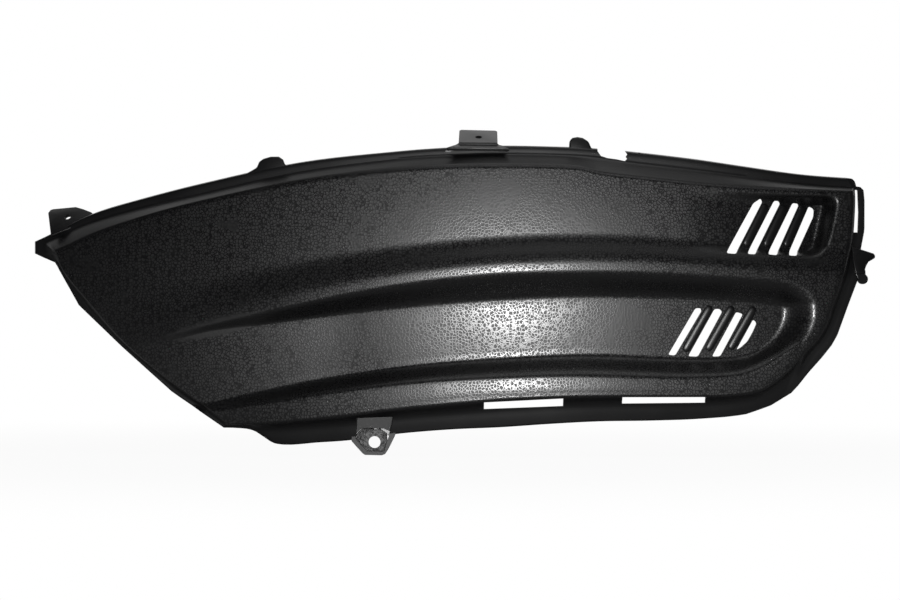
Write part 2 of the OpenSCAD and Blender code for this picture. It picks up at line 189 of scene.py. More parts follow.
class PanelSizes(bpy.types.PropertyGroup):
    """Sizes of the moulded panel."""

    wall: length(2.5, "Wall", "Thickness of the moulded skin and its border")
    crown_x: length(95, "Crown place", "Where along the panel the outward bow is highest")
    crown_front: length(30, "Crown front", "How far the bow stands in front of the ear")
    crown_radius: length(800, "Crown radius", "Radius of the outward bow along the panel")
    bow_radius: length(700, "Bow radius", "Radius of the bow from top edge to bottom edge")
    crest_rise: length(6, "Crest rise", "Height of the long crest in front of the upper panel")
    channel_depth: length(14, "Channel depth", "Depth of the scooped channel below the crest")
    pocket_depth: length(13, "Pocket depth", "Depth of the upper vent pocket at its right wall")
    rim_lift: length(1.2, "Rim lift", "How far the rim stands forward at its bottom edge")
    edge_roll: length(0.9, "Edge roll", "Roundover of the skin along its bottom edge")
    border_depth: length(9, "Border depth", "Set-back of the border behind the skin")
    lip_depth: length(3.5, "Lip depth", "Depth of the lip round the outside of the border")
    rib_radius: length(3.4, "Rib half-width", "Half the width of the ribs on the vents' bars")
    rib_flatness: portion(0.56, "Rib flatness", "Depth of a rib as a share of its width")
    ear_hole: length(8, "Ear hole", "Diameter of the hole in the lower ear")
    tab_hole: length(4.5, "Tab hole", "Diameter of the screw holes in the two tabs")
    tab_wall: length(2.5, "Tab wall", "Thickness of the tabs and of the lower ear")
    left_columns: count(150, 20, "Left columns", "Columns of faces along the left part")
    right_columns: count(110, 16, "Right columns", "Columns of faces along the vented part")
    row_steps: count(3, 1, "Row steps", "Rows of faces between two of the profile's rows")


class PanelLooks(bpy.types.PropertyGroup):
    """Colours and finish of the plastic."""

    plastic: bpy.props.FloatVectorProperty(
        name="Plastic", description="Colour of the black plastic", subtype="COLOR", size=3,
        default=(0.0028, 0.0028, 0.003), min=0.0, max=1.0,
    )
    skin_roughness: portion(0.27, "Skin roughness", "Roughness of the grained skin")
    border_roughness: portion(0.36, "Border roughness", "Roughness of the smooth border")
    grain_pitch: length(2.1, "Grain pitch", "Distance between neighbouring hollows of the grain")
    grain_height: length(0.026, "Grain height", "Depth of the hollows of the grain")


class StageSettings(bpy.types.PropertyGroup):
    """Camera, lamps and floor."""

    camera_distance: length(2400, "Camera distance", "From the camera to the crown of the panel")
    camera_x: length(50.7, "Camera X", "Place of the camera along the panel")
    camera_z: length(95.5, "Camera Z", "Height of the camera over the ear hole")
    picture_width: length(600, "Picture width", "Width of the picture at the crown of the panel")
    key_power: bpy.props.FloatProperty(
        name="Key lamp", description="Power of the lamp beside the camera", default=50.0,
        unit="POWER",
    )
    fill_power: bpy.props.FloatProperty(
        name="Fill lamp", description="Power of the wide lamp above", default=10.0, unit="POWER"
    )


def smooth(points):
    """A smooth line through the points, as two arrays that can be read by interpolation."""
    p = np.array(points, float)
    steps = 6
    last = len(p) - 1
    ahead = p[np.minimum(np.arange(last + 1) + 1, last)]
    back = p[np.maximum(np.arange(last + 1) - 1, 0)]
    slope = (ahead[:, 1] - back[:, 1]) / (ahead[:, 0] - back[:, 0])
    xs, ys = [], []
    for i in range(last):
        h = p[i + 1, 0] - p[i, 0]
        s = np.arange(steps) / steps
        xs.append(p[i, 0] + h * s)
        ys.append(
            p[i, 1]
            + h * slope[i] * s * (1 - s) ** 2
            - h * slope[i + 1] * s * s * (1 - s)
            + (p[i + 1, 1] - p[i, 1]) * s * s * (3 - 2 * s)
        )
    return np.append(np.concatenate(xs), p[last, 0]), np.append(np.concatenate(ys), p[last, 1])


def read(line, t):
    """The value of a line at t."""
    return np.interp(t, line[0], line[1])


def ease(t):
    """A soft step from 0 to 1."""
    t = np.clip(t, 0.0, 1.0)
    return t * t * (3 - 2 * t)


class Form:
    """The shape of the panel, worked out in millimetres from its sizes and lines."""

    def __init__(self, sizes):
        for name in sizes.bl_rna.properties.keys():
            value = getattr(sizes, name)
            if isinstance(value, float):
                setattr(self, name, value / MM)
        self.top_edge, self.valley, self.crest = smooth(TOP_EDGE), smooth(VALLEY), smooth(CREST)
        self.floor_top, self.floor_bottom = smooth(FLOOR_TOP), smooth(FLOOR_BOTTOM)
        self.rim = smooth(RIM)
        self.left_edge, self.right_edge = smooth(LEFT_EDGE), smooth(RIGHT_EDGE)
        self.left_outline = np.array(LEFT_OUTLINE, float).T
        self.right_outline = np.array(RIGHT_OUTLINE, float).T
        self.keys = [smooth(TOP_OUTLINE), smooth(BORDER_CREASE), self.top_edge, None, self.valley,
                     self.crest, self.floor_top, self.floor_bottom, self.rim, smooth(BOTTOM_EDGE),
                     smooth(BOTTOM_OUTLINE)]
        # Heights at which the search for each key line starts.
        self.starts = [180, 175, 170, 0, 120, 105, 90, 55, 40, 30, 15]

    def crown(self, x, z):
        """The bow of the whole panel, before any relief."""
        r = self.crown_radius
        return (r - self.crown_front - np.sqrt(r * r - (x - self.crown_x) ** 2)
                + (z - BOW_MIDDLE) ** 2 / (2 * self.bow_radius))

    def crest_part(self, x, z):
        """The long crest, measured back from the crown."""
        high = read(self.valley, x) + CREST_TOP
        low = read(self.crest, x) + CREST_FOOT
        along = ease((x - CREST_START) / CREST_FADE)
        return -self.crest_rise * along * ease((high - z) / (high - low))

    def channel_part(self, x, z):
        """The scooped channel, measured back from the crest."""
        top = read(self.crest, x) - CREST_FOOT
        floor_bottom = read(self.floor_bottom, x)
        rim = read(self.rim, x)
        end = np.interp(z, *np.array(CHANNEL_END, float).T)
        across = ease((x - CHANNEL_START) / CHANNEL_FADE) * ease((end - x) / BOWL_WALL)
        down = ease((top - z) / (top - read(self.floor_top, x)))
        up = ease((z - rim) / (floor_bottom - rim))
        return self.channel_depth * across * down * up

    def pocket_part(self, x, z):
        """The vent pocket, deepest at its right wall."""
        end = np.interp(z, *np.array(POCKET_END, float).T)
        deepen = np.clip((x - POCKET_START) / POCKET_REACH, 0, 1) ** POCKET_CURVE
        wall_side = ease((end - x) / POCKET_WALL)
        top_side = ease((read(self.top_edge, x) - POCKET_EDGE - z) / POCKET_TOP)
        low_side = ease((z - read(self.valley, x) - POCKET_LIFT) / POCKET_FOOT)
        return self.pocket_depth * deepen * wall_side * top_side * low_side

    def rim_part(self, x, z):
        """The rim below the channel, which stands forward towards the bottom edge."""
        below = np.clip((read(self.rim, x) - z) / RIM_WIDTH, 0, 1.2)
        along = ease((x - RIM_START) / RIM_FADE) * ease((RIM_END - x) / RIM_OUT)
        return -self.rim_lift * below * along

    def relief(self, x, z):
        """All relief of the skin, measured back from the crown."""
        return (self.crest_part(x, z) + self.channel_part(x, z) + self.pocket_part(x, z)
                + self.rim_part(x, z))

    def skin_y(self, x, z):
        """Depth of the skin's outside."""
        return self.crown(x, z) + self.relief(x, z)

    def border_y(self, x, z):
        """Depth of the border's outside, as one number or an array."""
        return self.crown(x, z) + self.crest_part(x, z) + self.border_depth

    def column_x(self, u, z):
        """X of the column u at the height z: 0 and 1 are the edges of the skin."""
        left = read(self.left_edge, z)
        right = read(self.right_edge, z)
        inside = left + (right - left) * np.clip(u, 0, 1)
        outer_left = left + (np.interp(z, *self.left_outline) - left) * np.clip(-u, 0, 1)
        outer_right = right + (np.interp(z, *self.right_outline) - right) * np.clip(u - 1, 0, 1)
        return np.where(u < 0, outer_left, np.where(u > 1, outer_right, inside))

    def key_heights(self, u):
        """Where the column u meets each key line, from the top outline down."""
        u = np.clip(u, 0, 1)
        heights = []
        for line, start in zip(self.keys, self.starts):
            z = np.full_like(u, float(start))
            if line is not None:
                for _ in range(12):
                    z = 0.3 * z + 0.7 * read(line, self.column_x(u, z))
            heights.append(z)
        heights[3] = heights[4] + CREST_TOP
        return np.array(heights)

    def columns(self, left_columns, right_columns):
        """Share across, set-back of the border, and how the back face lies behind the front."""
        b = self.border_depth
        lip = self.border_depth + self.lip_depth
        edge = [(-1, lip, 1, 0.1), (-0.95, b + 0.6, 1, 0.8), (-0.4, b, 1, 1), (0, 0.7, 1, 0.7),
                (0.005, 0, 0.7, 1)]
        share = np.concatenate([
            np.linspace(0, VENTED_FROM, left_columns + 1),
            np.linspace(VENTED_FROM, 1, right_columns + 1)[1:],
        ])
        share = share[(share > 0.012) & (share < 0.99)]
        middle = [(u, 0, float(ease((0.03 - u) / 0.03)) * 0.7, 1) for u in share]
        far = [(0.993, 0, 0.7, 1), (1, 0.7, 1, 0.7), (1.12, 0.45 * b, 1, 0.8), (1.3, b, 1, 1),
               (1.94, b + 0.6, 1, 0.8), (2, lip, 1, 0.1)]
        return filled(edge, 4) + middle + filled(far, 4)

    def rows(self, steps):
        """Number of the key line with the share of the way to the next, and the same three."""
        b = self.border_depth
        lip = self.border_depth + self.lip_depth
        plain = (2.4, 2.6, 2.8, 2.92, 3, 3.5, 4, 4.35, 4.7, 5, 5.18, 5.4, 5.65, 5.85, 6, 6.33,
                 6.67, 7, 7.25, 7.5, 7.75, 8)
        table = [(-0.1, lip, -1, 0.1), (0, b + 0.6, -1, 0.8), (0.4, b, -1, 1), (1, b, -1, 1),
                 (1.3, 0.7 * b, -1, 0.8), (1.8, 0.2 * b, -1, 0.7), (2, 0.7, -1, 0.7),
                 (2.04, 0, -0.8, 1), (2.1, 0, -0.5, 1), (2.2, 0, -0.2, 1)]
        table += [(key, 0, 0, 1) for key in plain]
        table += [(8.5, 0, 0.3, 1), (8.8, 0.3 * self.edge_roll, 0.8, 1),
                  (9, self.edge_roll, 1, 0.8), (9.18, 0.7 * b, 1, 0.8), (9.36, b, 1, 1),
                  (9.7, b + 1, 1, 1), (10, b + 2, 1, 0.8), (10.06, lip, 1, 0.1)]
        return filled(table, steps)

    def place(self, columns, rows):
        """Front and back points of the shell, as arrays over columns and rows."""
        c = np.array(columns, float)
        r = np.array(rows, float)
        u = c[:, 0]
        keys = self.key_heights(u)
        index = np.clip(np.floor(r[:, 0]).astype(int), 0, 9)
        z = keys[index] + (keys[index + 1] - keys[index]) * (r[:, 0] - index)[:, None]
        z = z.T
        uu = np.repeat(u[:, None], len(r), axis=1)
        z = np.where(uu < 0, z + TIP_DROP * uu * ease((z - TIP_HEIGHT) / TIP_RISE), z)
        x = self.column_x(uu, z)
        set_back = np.maximum(c[:, 1][:, None], r[:, 1][None, :])
        y = self.skin_y(x, z) + set_back
        gx = (self.relief(x + 1, z) - self.relief(x - 1, z)) / 2
        gz = (self.relief(x, z + 1) - self.relief(x, z - 1)) / 2
        steep = np.minimum(STEEPEST, np.sqrt(1 + gx * gx + gz * gz))
        left = uu < 0.5
        side = c[:, 2][:, None] * self.wall
        bx = x + np.where(left, 0.8 * side, -side)
        by = y + self.wall * np.minimum(c[:, 3][:, None], r[:, 3][None, :]) * steep
        bz = z + r[:, 2][None, :] * self.wall + np.where(left, 0.6 * side, 0)
        return np.stack([x, y, z], axis=-1), np.stack([bx, by, bz], axis=-1)


def filled(table, steps):
    """Entries between the table's entries, so that its profile is a smooth curve."""
    t = np.array(table, float)
    out = []
    for i in range(len(t) - 1):
        here, ahead = t[i], t[i + 1]
        a = (ahead - t[max(i - 1, 0)]) / 2
        b = (t[min(i + 2, len(t) - 1)] - here) / 2
        for k in range(steps):
            s = k / steps
            curve = ((2 * s ** 3 - 3 * s * s + 1) * here + (s ** 3 - 2 * s * s + s) * a
                     + (3 * s * s - 2 * s ** 3) * ahead + (s ** 3 - s * s) * b)
            entry = np.clip(curve, np.minimum(here, ahead), np.maximum(here, ahead))
            entry[0] = here[0] + (ahead[0] - here[0]) * s
            out.append(tuple(entry))
    out.append(tuple(t[-1]))
    return out


# Outlines of the small pieces in the front view, in millimetres.
EAR_WINDOW = ((-11.2, 18.6), (-12.6, 2.8), (-4.8, -5.8), (6.6, -6.1), (8, -1), (10.2, 6),
              (12, 12), (13.2, 19.2))
EAR_OUTSIDE = ((-14, 19), (-15.2, 1.2), (-12.1, -2.3), (-7.9, -6.9), (-6.2, -8.1), (5.1, -8.3),
               (7.4, -7.4), (9.4, -4.4), (11.4, -0.5), (13.8, 4.5), (15.4, 12), (16, 20))
EAR_PLATE = ((-14, 1.2), (-12, 5.5), (-8.5, 9.4), (-1.4, 9.4), (0.4, 8.4), (3.6, 9.2), (6.2, 7.4),
             (8.4, 6), (9, -4), (5.6, -7.2), (-5.6, -7.2))
EAR_SHELF = ((-13.4, 2.5), (-12, 6), (-9, 9), (6, 9), (11, 7), (11, 4), (6, 5), (-9, 5))
EAR_BACK = ((-13, 5), (11, 5), (15, 24), (-13, 24))
EAR_ROOF = ((-13, 20.4), (-13, 23), (15, 26), (15, 23.6))
LEFT_TAB = ((-3, -3), (-1, 20), (1, 22), (3, 22), (18.6, 16), (23, 11.5), (28, 5.5), (31, -2))
TOP_TAB = ((-8, -5), (-2, 0), (0, 3), (0.4, 24), (1.6, 25.4), (24.8, 25), (26, 23.6), (26.2, 3),
           (28, 0), (34, -5))
TOP_TAB_FOOT = ((46, 194), (49, 197), (56, 199.6), (57, 201), (82, 200.8), (83, 199.4),
                (91, 197.2), (93, 194))
CATCH = ((-90, 178), (-86, 181), (-79.5, 184.6), (-77.8, 188.6), (-75, 190.6), (-70, 192),
         (-64.5, 192), (-61.6, 190), (-60.4, 187), (-57, 184))
KNOB = ((129, 192), (130.4, 198), (130.6, 202), (132.6, 204), (136, 204.6), (139.5, 204),
        (143.4, 201.6), (145.2, 197.4), (148, 195.6), (149, 192))
BEAD = ((174, 190), (175.6, 193.2), (177.4, 194.4), (179.4, 193), (181, 190))
CLIP_ARM = ((322, 131.6), (328.6, 129.7), (337.2, 127), (338.4, 125.6), (338, 123.8),
            (333.3, 121.2), (331.6, 118.4), (329.8, 113.6), (324, 113), (322.4, 123))
CLIP_FOOT = ((323, 116), (331, 116), (331.2, 110), (326, 108.4))
TORN_GAP = ((148.6, 210), (149.4, 195), (151.6, 191.8), (156, 190.4), (162, 189.6),
            (167.6, 188.4), (169.2, 190), (168.2, 191.4), (169.4, 193), (167.4, 196), (167, 210))
LONG_SLOTS = (
    ((73.3, 27.5), (126, 30.1), (126, 24.9), (73.3, 22.9)),
    ((165.3, 30.9), (221.2, 30.8), (221.2, 26.9), (165.3, 26.5)),
)
UPPER_SLOTS = (
    ((235, 126.8), (241.6, 126.2), (260.3, 161.4), (259, 163.6), (253.9, 160.2)),
    ((249.3, 126.3), (254.9, 126), (272.6, 160.3), (271.5, 162), (268.4, 162.2)),
    ((263.4, 126), (269.7, 125.5), (285.5, 159), (285, 160.4), (281.3, 160.8)),
    ((277.5, 125.3), (283.2, 125.1), (296, 151.6), (296.4, 156.8), (292.8, 158.8)),
)
LOWER_SLOTS = (
    ((196.5, 58.9), (201.3, 58.4), (219, 88.2), (218.3, 90), (214.8, 90)),
    ((210, 57.9), (216.6, 57.6), (233, 87.7), (231.2, 89.5), (227.7, 89.5)),
    ((226.1, 57.6), (231.8, 57.8), (247.1, 86.1), (242.4, 87.5)),
    ((242.6, 62), (245.6, 63.6), (250.2, 67.7), (253.8, 74), (256.5, 80.2), (254, 82.5)),
)
TOP_CORNER = ((318, 178.4), (322.8, 177.6), (324.6, 175.9), (325.4, 173.6), (325.6, 172.4),
              (331, 171.7), (342, 171), (342, 190), (318, 190))
LOW_CORNER = ((248.7, 18.6), (266.1, 24.6), (280.1, 33), (291, 44.6), (301.6, 56.4),
              (308.6, 64.4), (312.4, 72), (340, 72), (340, -10), (248.7, -10))
SIDE_SLOT = ((324.6, 170), (326.5, 170), (327, 155), (326.4, 141.2), (323.2, 141.2),
             (324.2, 155))
# Small pieces of the border: name, outline, middle, front and back of it, and roundover.
BORDER_PIECES = (
    ("catch", CATCH, (-75, 184), 0.5, 7, 1.2),
    ("knob", KNOB, (138, 197), 0.5, 7, 1.2),
    ("bead", BEAD, (178, 192), 0.5, 3, 0.5),
    ("clip arm", CLIP_ARM, (328, 124), -1.5, 6, 0.8),
    ("clip foot", CLIP_FOOT, (328, 112), -1, 5.5, 0.6),
)
# The clip's pin: its middle in the front view and its radius.
CLIP_PIN, CLIP_PIN_RADIUS = (329.2, 109.6), 3.4
# Ribs of each vent: both ends of the first one, and how the ends step to the next.
RIBS = (
    ((248, 131), (14.1, -0.2), (263.4, 160), (13.1, -0.4)),
    ((207, 60.5), (15.3, 0.6), (225.3, 92.4), (14.8, -0.4)),
)
RIBS_PER_VENT, RIB_SINK, RIB_SIDES, RIB_STEPS = 3, 0.8, 24, 40
SLOT_CORNER = 1.5

# The smooth patch at the left end of the long crest, in metres.
WORN_PATCH = {"X": -0.104, "Z": 0.078, "Slope": 0.22, "Length": 0.042, "Height": 0.007}

GRAINED, SMOOTH, ROUGH = 0, 1, 2
FINISHES = ("grained plastic", "smooth plastic", "rough glossy plastic")


def placed(name, data):
    """A new object in the scene."""
    obj = bpy.data.objects.new(name, data)
    bpy.context.scene.collection.objects.link(obj)
    return obj


def mesh_object(name, points, faces, material_index):
    """A new object from points in millimetres, with the three finishes in its slots."""
    mesh = bpy.data.meshes.new(name)
    mesh.from_pydata([tuple(c * MM for c in p) for p in points], [], faces)
    for finish in FINISHES:
        mesh.materials.append(bpy.data.materials[finish])
    mesh.polygons.foreach_set("material_index", material_index)
    mesh.update()
    return placed(name, mesh)


def outwards(obj):
    """Turn the faces of a closed mesh outwards."""
    work = bmesh.new()
    work.from_mesh(obj.data)
    bmesh.ops.recalc_face_normals(work, faces=work.faces)
    work.to_mesh(obj.data)
    work.free()
    return obj


def prism(name, points, index):
    """A closed mesh of one finish between two rings of points."""
    n = len(points) // 2
    faces = [tuple(range(n)), tuple(range(2 * n - 1, n - 1, -1))]
    faces += [(i, i + n, (i + 1) % n + n, (i + 1) % n) for i in range(n)]
    return outwards(mesh_object(name, points, faces, [index] * len(faces)))


def plate(name, outline, front, back, index=SMOOTH, matrix=None, bevel=0.0):
    """A flat piece drawn in the front view, from one depth to another."""
    points = [Vector((x, y, z)) for y in (front, back) for x, z in outline]
    if matrix is not None:
        points = [matrix @ p for p in points]
    obj = prism(name, points, index)
    if bevel:
        soften = obj.modifiers.new("soft edges", "BEVEL")
        soften.width = bevel * MM
        soften.segments = 3
        soften.limit_method = "ANGLE"
        soften.angle_limit = math.radians(35)
        applied(obj)
    return obj


def bowed(form, obj, x, z):
    """Let a flat piece follow the bow of the border round a point of it."""
    at_point = form.border_y(x, z)
    for vertex in obj.data.vertices:
        vertex.co.y += (form.border_y(vertex.co.x / MM, vertex.co.z / MM) - at_point) * MM
    obj.data.update()
    return obj


def rod(name, start, end, radius, index=SMOOTH, sides=48):
    """A round rod from start to end."""
    start, end = Vector(start), Vector(end)
    along = (end - start).normalized()
    turn = along.to_track_quat("Z", "Y").to_matrix()
    ring = [Vector((math.cos(a), math.sin(a), 0)) * radius
            for a in (2 * math.pi * k / sides for k in range(sides))]
    return prism(name, [middle + turn @ p for middle in (start, end) for p in ring], index)


def applied(obj):
    """Turn the object with its modifiers into a plain mesh."""
    graph = bpy.context.evaluated_depsgraph_get()
    mesh = bpy.data.meshes.new_from_object(obj.evaluated_get(graph))
    obj.modifiers.clear()
    old = obj.data
    obj.data = mesh
    mesh.name = obj.name
    bpy.data.meshes.remove(old)
    return obj


def cut(obj, cutters):
    """Take the cutters away from the object."""
    for cutter in cutters:
        knife = obj.modifiers.new("cut", "BOOLEAN")
        knife.operation = "DIFFERENCE"
        knife.solver = "EXACT"
        knife.object = cutter
        applied(obj)
        mesh = cutter.data
        bpy.data.objects.remove(cutter)
        bpy.data.meshes.remove(mesh)
    return obj


def join(name, objects):
    """Join the objects into the first one."""
    for obj in bpy.context.selected_objects:
        obj.select_set(False)
    for obj in objects:
        obj.select_set(True)
    bpy.context.view_layer.objects.active = objects[0]
    if bpy.ops.object.join() != {"FINISHED"}:
        raise RuntimeError(f"{name} could not be joined")
    objects[0].name = name
    return objects[0]


def rounded(outline, radius):
    """The outline with each of its corners rounded."""
    out = []
    for i, corner in enumerate(outline):
        here = Vector(corner)
        before = Vector(outline[i - 1]) - here
        after = Vector(outline[(i + 1) % len(outline)]) - here
        reach = min(radius, 0.45 * before.length, 0.45 * after.length)
        start = here + before.normalized() * reach
        end = here + after.normalized() * reach
        for t in (0.0, 0.25, 0.5, 0.75, 1.0):
            out.append(tuple(start * (1 - t) ** 2 + here * 2 * t * (1 - t) + end * t * t))
    return out


def shell(form, sizes):
    """The skin with its stepped border, as one closed wall."""
    columns = form.columns(sizes.left_columns, sizes.right_columns)
    rows = form.rows(sizes.row_steps)
    front, back = form.place(columns, rows)
    nu, nv = front.shape[:2]
    points = np.concatenate([front.reshape(-1, 3), back.reshape(-1, 3)])

    def at(i, j):
        return i * nv + j

    behind = nu * nv
    faces, marks = [], []
    for i in range(nu - 1):
        on_skin = 0 <= columns[i][0] and columns[i + 1][0] <= 1
        for j in range(nv - 1):
            a, b, c, d = at(i, j), at(i + 1, j), at(i + 1, j + 1), at(i, j + 1)
            faces.append((a, d, c, b))
            faces.append((a + behind, b + behind, c + behind, d + behind))
            grained = on_skin and rows[j][0] >= 2 and rows[j + 1][0] <= 9
            marks += [GRAINED if grained else SMOOTH, SMOOTH]
    ring = [at(i, 0) for i in range(nu)] + [at(nu - 1, j) for j in range(1, nv)]
    ring += [at(i, nv - 1) for i in range(nu - 2, -1, -1)]
    ring += [at(0, j) for j in range(nv - 2, 0, -1)]
    for a, b in zip(ring, ring[1:] + ring[:1]):
        faces.append((a, b, b + behind, a + behind))
        marks.append(SMOOTH)
    return outwards(mesh_object("shell", points.tolist(), faces, marks))


def ear_box(form):
    """The small box below the border, with the lower ear at its back."""
    half = form.tab_wall / 2
    wall = plate("ear wall", EAR_OUTSIDE, -18, 8.5)
    slant = Matrix.Rotation(math.radians(-6.8), 4, "Z")
    front = plate("front", ((-40, -20), (40, -20), (40, 40), (-40, 40)), -33.6, -13.6, matrix=slant)
    below = plate("below", ((-40, -30), (40, -30), (40, 4), (-40, 4)), half, 30)
    inside = plate("inside", EAR_WINDOW, -40, 40)
    cut(wall, [inside, front, below])
    ear = plate("ear", EAR_PLATE, -half, half, ROUGH, bevel=0.4)
    cut(ear, [rod("ear bore", (0, -9, 0), (0, 9, 0), form.ear_hole / 2, ROUGH, 64)])
    lean = (Matrix.Translation((0, 7, 14)) @ Matrix.Rotation(math.radians(-11), 4, "X")
            @ Matrix.Translation((0, -7, -14)))
    return [wall, ear, plate("ear shelf", EAR_SHELF, 1, 8.5), plate("ear roof", EAR_ROOF, -20, 8.5),
            plate("ear back", EAR_BACK, 5.8, 8.2, matrix=lean)]


def screw_tab(form, name, foot, roll, tilt, outline, hole):
    """A screw tab whose foot lies along X and which leans back from upright."""
    matrix = (Matrix.Translation(Vector(foot)) @ Matrix.Rotation(math.radians(-roll), 4, "Y")
              @ Matrix.Rotation(math.radians(-tilt), 4, "X"))
    tab = plate(name, outline, 0, form.tab_wall, matrix=matrix, bevel=0.5)
    ends = [matrix @ Vector((hole[0], y, hole[1])) for y in (-3, form.tab_wall + 3)]
    return cut(tab, [rod(name + " bore", *ends, form.tab_hole / 2)])


def small_pieces(form):
    """Tabs, catches and the hooked clip along the border."""
    left_foot = (-220, float(form.border_y(-210, 146)) + 1, 142.6)
    top_y = float(form.border_y(69, 196))
    pieces = [
        screw_tab(form, "left tab", left_foot, 20, 45, LEFT_TAB, (11.5, 9)),
        screw_tab(form, "top tab", (56.4, top_y + 0.4, 199.4), -1, 64, TOP_TAB, (13.4, 13)),
        plate("top tab foot", TOP_TAB_FOOT, top_y + 0.6, top_y + 3.4, bevel=0.4),
    ]
    for name, outline, middle, front, back, bevel in BORDER_PIECES:
        y = float(form.border_y(*middle))
        piece = plate(name, outline, y + front, y + back, bevel=bevel)
        pieces.append(bowed(form, piece, *middle))
    x, z = CLIP_PIN
    y = float(form.border_y(328, 112))
    pin = rod("clip pin", (x, y - 1.5, z), (x, y + 6, z), CLIP_PIN_RADIUS)
    return pieces + [bowed(form, pin, 328, 112)]


def border_cutters():
    """Everything that is cut through the skin and the border."""
    cutters = [plate("torn gap", TORN_GAP, -60, 60), plate("side slot", SIDE_SLOT, -20, 60)]
    cutters += [plate("long slot", outline, -45, 40) for outline in LONG_SLOTS]
    cutters += [plate("corner", outline, -60, 60) for outline in (TOP_CORNER, LOW_CORNER)]
    slots = [rounded(outline, SLOT_CORNER) for outline in UPPER_SLOTS + LOWER_SLOTS]
    cutters += [plate("slot", outline, -60, 40) for outline in slots]
    cutters.append(plate("ear window", EAR_WINDOW, -19.5, 12))
    return cutters


def rib_tree(material, values):
    """Geometry Nodes for the ribs: a tapered oval rod on every edge of the guide lines."""
    tree = bpy.data.node_groups.new("Louvre ribs", "GeometryNodeTree")
    tree.interface.new_socket("Geometry", in_out="INPUT", socket_type="NodeSocketGeometry")
    for name, value in values.items():
        kind = "NodeSocketInt" if isinstance(value, int) else "NodeSocketFloat"
        tree.interface.new_socket(name, in_out="INPUT", socket_type=kind).default_value = value
    tree.interface.new_socket("Geometry", in_out="OUTPUT", socket_type="NodeSocketGeometry")
    nodes, links = tree.nodes, tree.links
    given = nodes.new("NodeGroupInput")
    result = nodes.new("NodeGroupOutput")
    to_curve = nodes.new("GeometryNodeMeshToCurve")
    resample = nodes.new("GeometryNodeResampleCurve")
    resample.inputs["Count"].default_value = RIB_STEPS
    upright = nodes.new("GeometryNodeSetCurveNormal")
    upright.mode = "Z_UP"
    place = nodes.new("GeometryNodeSplineParameter")
    taper = nodes.new("ShaderNodeFloatCurve")
    points = taper.mapping.curves[0].points
    points[0].location = (0.0, 0.05)
    points[1].location = (1.0, 0.05)
    for spot in ((0.03, 0.6), (0.1, 0.92), (0.25, 1.0), (0.75, 1.0), (0.9, 0.92), (0.97, 0.6)):
        points.new(*spot)
    taper.mapping.update()
    circle = nodes.new("GeometryNodeCurvePrimitiveCircle")
    squash = nodes.new("ShaderNodeCombineXYZ")
    squash.inputs["Y"].default_value = 1.0
    squash.inputs["Z"].default_value = 1.0
    oval = nodes.new("GeometryNodeTransform")
    sweep = nodes.new("GeometryNodeCurveToMesh")
    sweep.inputs["Fill Caps"].default_value = True
    realize = nodes.new("GeometryNodeRealizeInstances")
    shade_node = nodes.new("GeometryNodeSetMaterial")
    shade_node.inputs["Material"].default_value = material
    for source, output, target, socket in (
        (given, "Geometry", to_curve, "Mesh"), (to_curve, "Curve", resample, "Curve"),
        (resample, "Curve", upright, "Curve"), (upright, "Curve", sweep, "Curve"),
        (given, "Radius", circle, "Radius"), (given, "Sides", circle, "Resolution"),
        (given, "Flatness", squash, "X"), (circle, "Curve", oval, "Geometry"),
        (squash, "Vector", oval, "Scale"), (oval, "Geometry", sweep, "Profile Curve"),
        (place, "Factor", taper, "Value"), (taper, "Value", sweep, "Scale"),
        (sweep, "Mesh", realize, "Geometry"), (realize, "Geometry", shade_node, "Geometry"),
        (shade_node, "Geometry", result, "Geometry"),
    ):
        links.new(source.outputs[output], target.inputs[socket])
    return tree


def rib_lines(form):
    """The middle line of each rib, sunk a little below the skin."""
    points, edges = [], []
    for low, step_low, high, step_high in RIBS:
        for i in range(RIBS_PER_VENT):
            edges.append((len(points), len(points) + 1))
            for end, step in ((low, step_low), (high, step_high)):
                x, z = end[0] + step[0] * i, end[1] + step[1] * i
                points.append((x, float(form.skin_y(x, z)) + RIB_SINK, z))
    return points, edges


def louvre_ribs(form, flatness, material):
    """The ribs along the bars between the slots, made by the Geometry Nodes tree."""
    points, edges = rib_lines(form)
    mesh = bpy.data.meshes.new("louvre ribs")
    mesh.from_pydata([tuple(c * MM for c in p) for p in points], edges, [])
    obj = placed("louvre ribs", mesh)
    values = {"Radius": form.rib_radius * MM, "Flatness": flatness, "Sides": RIB_SIDES}
    tree = rib_tree(material, values)
    modifier = obj.modifiers.new("ribs", "NODES")
    modifier.node_group = tree
    for item in tree.interface.items_tree:
        if item.in_out == "INPUT" and item.name in values:
            modifier[item.identifier] = values[item.name]
    applied(obj)
    if not len(obj.data.polygons):
        raise RuntimeError("the louvre ribs came out empty")
    return outwards(obj)


def shader_group(name, values, outputs):
    """An empty shader group with a vector, named values and named outputs."""
    group = bpy.data.node_groups.new(name, "ShaderNodeTree")
    group.interface.new_socket("Vector", in_out="INPUT", socket_type="NodeSocketVector")
    for label, value in values.items():
        socket = group.interface.new_socket(label, in_out="INPUT", socket_type="NodeSocketFloat")
        socket.default_value = value
    for label in outputs:
        group.interface.new_socket(label, in_out="OUTPUT", socket_type="NodeSocketFloat")
    return group, group.nodes.new("NodeGroupInput"), group.nodes.new("NodeGroupOutput")


def math_node(group, operation, first, second):
    """A Math node fed by sockets or numbers; gives its output socket."""
    node = group.nodes.new("ShaderNodeMath")
    node.operation = operation
    for socket, value in zip(node.inputs, (first, second)):
        if isinstance(value, (int, float)):
            socket.default_value = value
        else:
            group.links.new(value, socket)
    return node.outputs[0]


